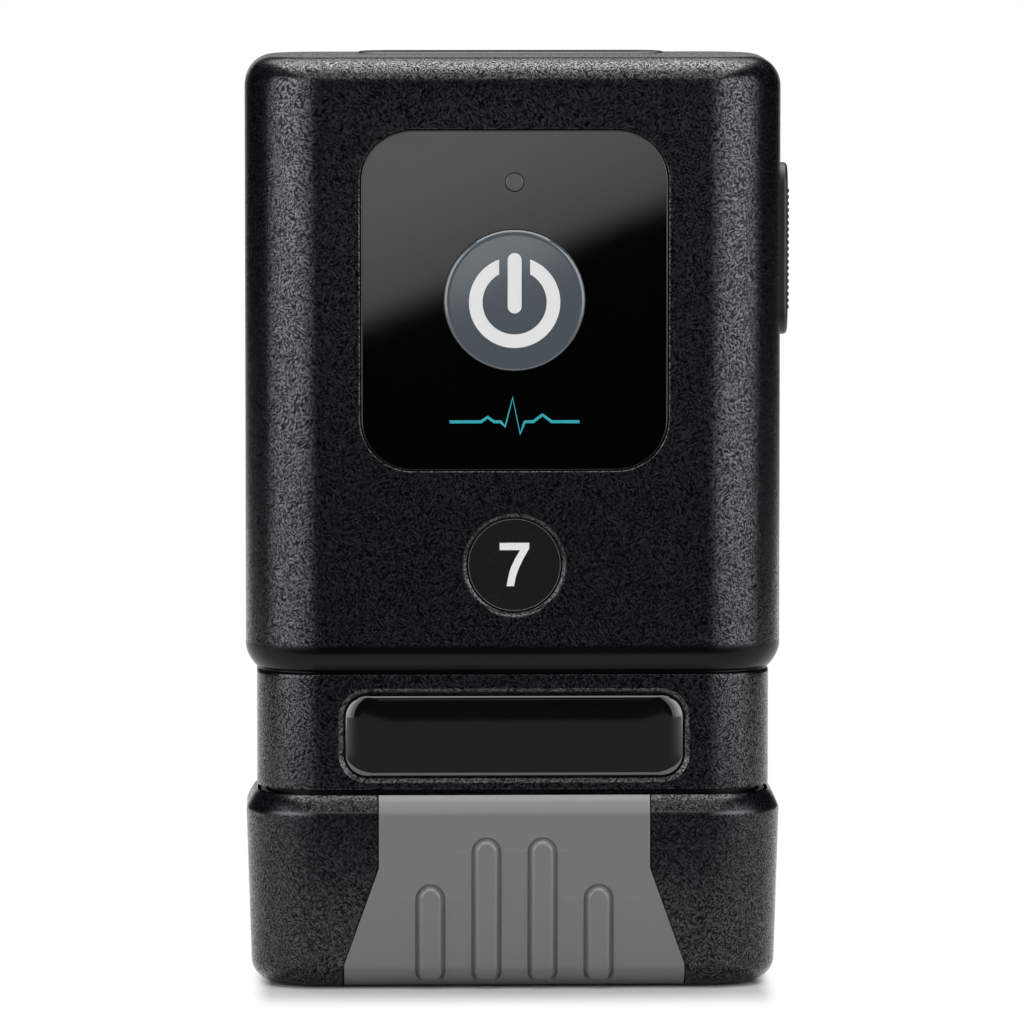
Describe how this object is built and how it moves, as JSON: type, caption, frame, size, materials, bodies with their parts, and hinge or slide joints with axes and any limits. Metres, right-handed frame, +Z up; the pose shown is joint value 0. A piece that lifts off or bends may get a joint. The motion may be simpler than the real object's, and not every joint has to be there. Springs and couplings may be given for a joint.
{
  "type": "cardiac telemetry transmitter",
  "caption": "Body-worn cardiac telemetry transmitter: textured two-part housing, glossy window with round power key, side key, lead socket and pull-off battery cap.",
  "frame": {"origin": "centre of the flat base of the end cap, where the transmitter stands", "axes": "+Z up from the base to the lead socket, +Y from the front window to the back, +X to the right as seen from the front, on the side of the side key"},
  "size_m": [0.0591, 0.0256, 0.1008],
  "materials": {
    "housing_black": "fine leathery grain, satin",
    "cap_black": "fine leathery grain, satin",
    "grip_grey": "soft matt",
    "window_black": "mirror gloss",
    "key_grey": "satin, slightly translucent",
    "badge_black": "high gloss dome",
    "label_black": "satin label",
    "side_key_black": "satin",
    "light_pipe_clear": "frosted clear",
    "socket_black": "smooth satin",
    "pin_gold": "gold plated",
    "seal_rubber": "matt",
    "screw_steel": "plain steel",
    "insert_brass": "turned brass",
    "board_green": "solder mask",
    "component_black": "moulded",
    "shield_steel": "tinned sheet",
    "ceramic_white": "ceramic",
    "plunger_steel": "plain steel",
    "tray_black": "moulded",
    "cell_jacket": "printed jacket, plain",
    "contact_nickel": "nickel plated"
  },
  "bodies": {
    "housing": {"front_shell": "housing_black", "rear_shell": "housing_black", "shell_gasket": "seal_rubber", "spigot_seal": "seal_rubber", "window_lens": "window_black", "light_pipe": "light_pipe_clear", "indicator_led": "ceramic_white", "number_disc": "label_black", "domed_badge": "badge_black", "power_switch_body": "component_black", "side_switch_body": "component_black", "main_board": "board_green", "ecg_board": "board_green", "board_header": "component_black", "processor_chip": "component_black", "radio_shield_can": "shield_steel", "ecg_shield_can": "shield_steel", "chip_antenna": "ceramic_white", "sounder": "component_black", "lead_socket_block": "socket_black", "lead_pin_1": "pin_gold", "lead_pin_2": "pin_gold", "lead_pin_3": "pin_gold", "lead_pin_4": "pin_gold", "lead_pin_5": "pin_gold", "case_screw_1": "screw_steel", "case_screw_2": "screw_steel", "case_screw_3": "screw_steel", "case_screw_4": "screw_steel", "screw_insert_1": "insert_brass", "screw_insert_2": "insert_brass", "screw_insert_3": "insert_brass", "screw_insert_4": "insert_brass", "battery_tray": "tray_black", "battery_cell_1": "cell_jacket", "battery_cell_2": "cell_jacket", "tray_contact_plate": "contact_nickel", "tray_contact_spring": "contact_nickel"},
    "power_key": {"power_key": "key_grey"},
    "power_plunger": {"power_switch_plunger": "plunger_steel"},
    "side_key": {"side_key": "side_key_black"},
    "side_plunger": {"side_switch_plunger": "plunger_steel"},
    "end_cap": {"end_cap": "cap_black", "grip_band": "grip_grey", "cap_contact_plate": "contact_nickel", "cap_contact_spring": "contact_nickel"}
  },
  "joints": [
    {"name": "power_key_press", "type": "slide", "parent": "housing", "child": "power_key", "axis": [0, 1, 0], "range_m": [0, 0.0004], "stiffness_N_per_m": 800},
    {"name": "power_plunger_slide", "type": "slide", "parent": "housing", "child": "power_plunger", "axis": [0, 1, 0], "range_m": [0, 0.0004], "stiffness_N_per_m": 200},
    {"name": "side_key_press", "type": "slide", "parent": "housing", "child": "side_key", "axis": [-1, 0, 0], "range_m": [0, 0.0004], "stiffness_N_per_m": 800},
    {"name": "side_plunger_slide", "type": "slide", "parent": "housing", "child": "side_plunger", "axis": [-1, 0, 0], "range_m": [0, 0.0004], "stiffness_N_per_m": 200},
    {"name": "end_cap_slide", "type": "slide", "parent": "housing", "child": "end_cap", "axis": [0, 0, -1], "range_m": [0, 0.03]}
  ],
  "couplings": [
    {"joint": "power_plunger_slide", "follows": "power_key_press", "ratio": 1},
    {"joint": "side_plunger_slide", "follows": "side_key_press", "ratio": 1}
  ]
}
